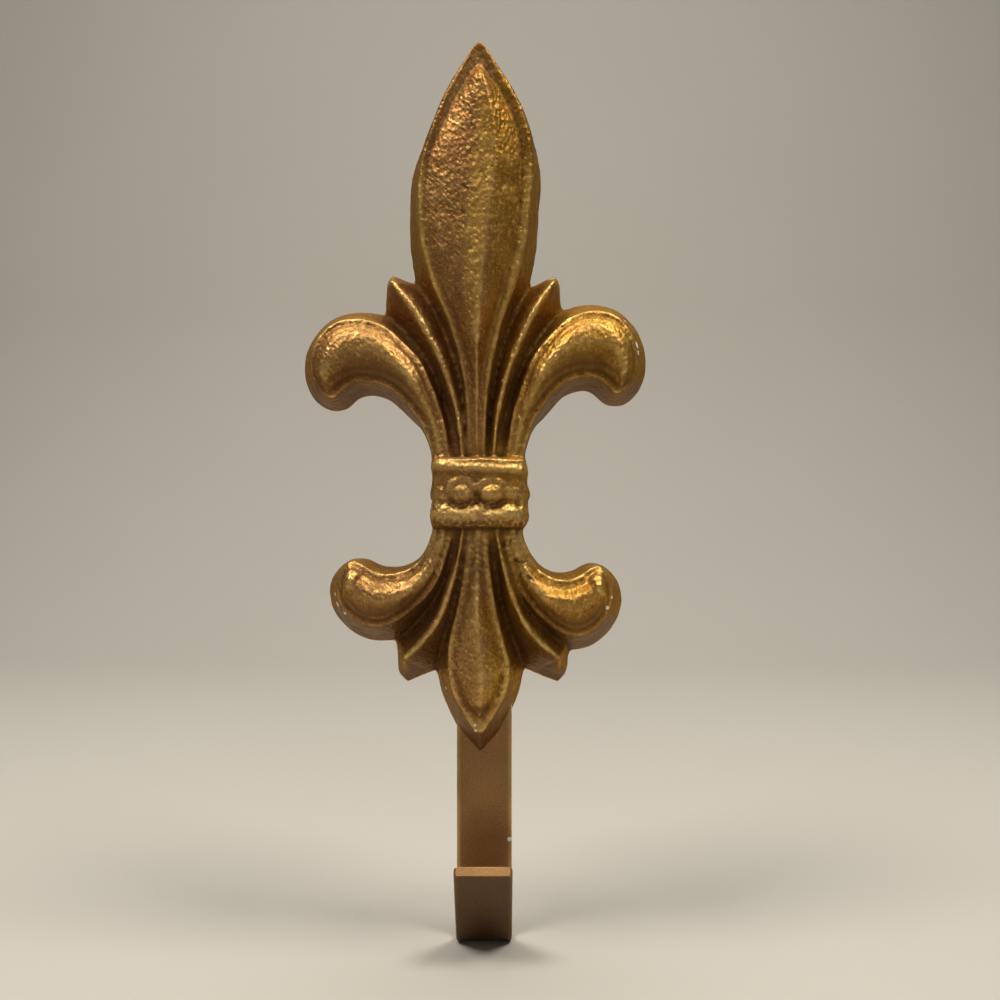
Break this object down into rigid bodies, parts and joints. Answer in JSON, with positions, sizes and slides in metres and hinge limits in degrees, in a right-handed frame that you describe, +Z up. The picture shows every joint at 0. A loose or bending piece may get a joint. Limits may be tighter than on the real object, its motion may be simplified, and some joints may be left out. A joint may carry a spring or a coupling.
{
  "type": "wall hook",
  "caption": "Decorative wall hook: a cast fleur-de-lis with rimmed petals and a banded collar on a flat steel bar bent up into an open hook below it.",
  "frame": {"origin": "on the wall plane, behind the middle of the collar", "axes": "+Z up along the bar, +Y into the wall, so the carved front faces -Y, +X to the right as seen from the front"},
  "size_m": [0.1162, 0.029, 0.2961],
  "materials": {
    "gold_casting": "gold paint rubbed over umber on a white cast composition, satin, uneven",
    "bronze_bar": "bronze-brown paint with rubbed gold, satin",
    "screw_steel": "plain steel"
  },
  "bodies": {
    "root": {"fleur_casting": "gold_casting", "strap_hook": "bronze_bar", "strap_screws": "screw_steel"}
  },
  "joints": []
}
